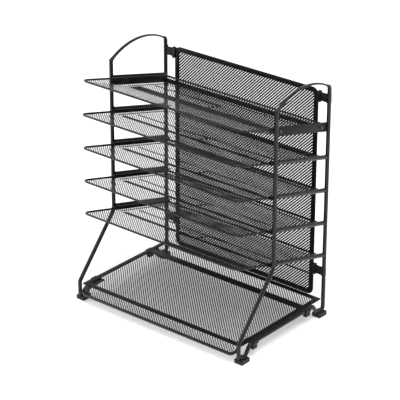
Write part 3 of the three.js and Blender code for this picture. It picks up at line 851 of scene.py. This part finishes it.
def saddle(bm, matrix):
    """The part of the clip that wraps the post's inner and rear sides."""
    inner, outer = TUBE + 0.15, TUBE + 1.2
    start = math.pi + 0.5
    low, high = -CLIP_HALF_SADDLE, CLIP_HALF_SADDLE
    profile = [(inner, low), (outer, low), (outer, high), (inner, high)]
    verts = []
    for r, z in profile:
        verts.append(bm.verts.new((SIDE_X + r * math.cos(start), r * math.sin(start), z)))
    face = bm.faces.new(verts)
    before = set(bm.verts) - set(verts)
    bmesh.ops.spin(bm, geom=[face], cent=(SIDE_X, 0, 0), axis=(0, 0, 1), angle=-2.4, steps=14)
    made = [v for v in bm.verts if v not in before]
    bmesh.ops.transform(bm, matrix=matrix, verts=made)


# ---- bottom tray ----

def bottom_tray():
    flat = Matrix.Translation((0, 0, FLOOR + WELD_GAP))
    outer = rounded(-BORDER_HALF_WIDTH, BORDER_FRONT, BORDER_HALF_WIDTH, BORDER_REAR,
                    (3, 3, 3, 3), 4)
    inner = rounded(-BORDER_HALF_WIDTH + BORDER_STRIP, BORDER_FRONT + BORDER_STRIP,
                    BORDER_HALF_WIDTH - BORDER_STRIP, BORDER_REAR - BORDER_STRIP, (2, 2, 2, 2), 4)
    bm = bmesh.new()
    ring_plate(bm, outer, inner, BORDER_SHEET, flat, 0.35)
    end = BORDER_HALF_WIDTH - BORDER_STRIP + 1
    block(bm, (-end, CROSS_BAR - CROSS_BAR_WIDTH / 2, 0.02),
          (end, CROSS_BAR + CROSS_BAR_WIDTH / 2, BORDER_SHEET - 0.02), flat, 0.3)
    make_piece("bottom_tray_strips", bm, "frame", SHEET_COAT,
               ["bottom_tray_border"], 50)
    bm = bmesh.new()
    half = LIP_HALF_WIDTH
    floor = [(-half, BORDER_FRONT), (half, BORDER_FRONT), (half, BORDER_REAR - 1),
             (-half, BORDER_REAR - 1)]
    lattice(bm, floor, Matrix.Translation((0, 0, FLOOR - MESH_HALF_SHEET)), lean=-1)
    low = (LIP_FRONT + LIP_WIRE - 0.4, LIP_HEIGHT + 1.2)
    high = (BORDER_FRONT + 0.4, FLOOR - MESH_HALF_SHEET)
    run, rise = high[0] - low[0], high[1] - low[1]
    lip_plane = plane_matrix((0, *low), (1, 0, 0), (0, run, rise))
    lip = rounded(-half, 0, half, math.hypot(run, rise), (7, 7, 0, 0), 4)
    lattice(bm, lip, lip_plane, lean=-1)
    make_piece("bottom_tray_diamond_mesh", bm, "frame", MESH_COAT,
               ["bottom_tray_mesh"], 50)
    x = half + LIP_WIRE + WELD_GAP
    z = FLOOR - LIP_WIRE - MESH_HALF_SHEET
    corners = [(-x, BORDER_FRONT + 3, z), (-x, LIP_FRONT, LIP_HEIGHT), (x, LIP_FRONT, LIP_HEIGHT),
               (x, BORDER_FRONT + 3, z)]
    bm = bmesh.new()
    sweep(bm, bent(corners, [LIP_CORNER, LIP_CORNER], 0.14), LIP_WIRE - 0.08, 16)
    make_piece("bottom_tray_lip", bm, "frame", TUBE_COAT,
               ["bottom_tray_lip_wire"])


# ---- finishes for the CAD nodes that stay ----

NODE_FINISHES = {
    "runner": SHEET_COAT,
    "foot_cap": PLASTIC,
    "rail_clip": PLASTIC,
}


def dress_frame_nodes():
    for name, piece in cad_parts.items():
        for part, material in NODE_FINISHES.items():
            if part in name:
                piece.data.materials.clear()
                piece.data.materials.append(material)


# ---- room, lights and camera ----

def room():
    bm = bmesh.new()
    bmesh.ops.create_grid(bm, x_segments=2, y_segments=2, size=6.0)
    mesh = bpy.data.meshes.new("studio_floor")
    bm.to_mesh(mesh)
    bm.free()
    floor = bpy.data.objects.new("studio_floor", mesh)
    material = bpy.data.materials.new("pale_floor")
    material.use_nodes = True
    shader = material.node_tree.nodes["Principled BSDF"]
    shader.inputs["Base Color"].default_value = (0.9, 0.9, 0.9, 1)
    shader.inputs["Roughness"].default_value = 0.9
    shader.inputs["Emission Color"].default_value = (1, 1, 1, 1)
    shader.inputs["Emission Strength"].default_value = 0.3
    mesh.materials.append(material)
    bpy.context.scene.collection.objects.link(floor)
    world = bpy.data.worlds.new("studio_world")
    world.use_nodes = True
    world.node_tree.nodes["Background"].inputs["Color"].default_value = (1, 1, 1, 1)
    world.node_tree.nodes["Background"].inputs["Strength"].default_value = 0.75
    bpy.context.scene.world = world
    bpy.context.scene.view_settings.view_transform = "Standard"


def soft_light(name, where, towards, size, power):
    light = bpy.data.lights.new(name, "AREA")
    light.shape = "RECTANGLE"
    light.size, light.size_y = size
    light.energy = power
    lamp = bpy.data.objects.new(name, light)
    bpy.context.scene.collection.objects.link(lamp)
    lamp.location = where
    aim = Vector(towards) - Vector(where)
    lamp.rotation_euler = aim.to_track_quat("-Z", "Y").to_euler()


def camera():
    elevation, azimuth, roll = (math.radians(a) for a in (25.005, 39.759, 0.107))
    distance, shift_right, shift_up = 3.0431, -0.02768, -0.0216
    level = math.cos(elevation)
    back = Vector((math.sin(azimuth) * level, -math.cos(azimuth) * level, math.sin(elevation)))
    right = Vector((math.cos(azimuth), math.sin(azimuth), 0))
    up = back.cross(right)
    right, up = (right * math.cos(roll) + up * math.sin(roll),
                 up * math.cos(roll) - right * math.sin(roll))
    target = Vector((0, POST_PLANE * MM + HALF_DEPTH * MM, 0.194))
    view = bpy.data.cameras.new("product_view")
    view.sensor_width = 36.0
    view.lens = 177.0
    eye = bpy.data.objects.new("product_view", view)
    bpy.context.scene.collection.objects.link(eye)
    turn = Matrix((right, up, back)).transposed().to_4x4()
    place_at = target + back * distance + right * shift_right + up * shift_up
    eye.matrix_world = Matrix.Translation(place_at) @ turn
    bpy.context.scene.camera = eye


side_frames()
trays()
back_panel()
panel_clips()
bottom_tray()
dress_frame_nodes()
room()
soft_light("key_light", (1.0, -0.6, 2.6), (0, 0, 0.2), (2.2, 2.2), 50)
soft_light("left_light", (-2.0, -1.4, 1.2), (0, 0, 0.2), (0.7, 1.8), 22)
camera()

bpy.context.view_layer.update()
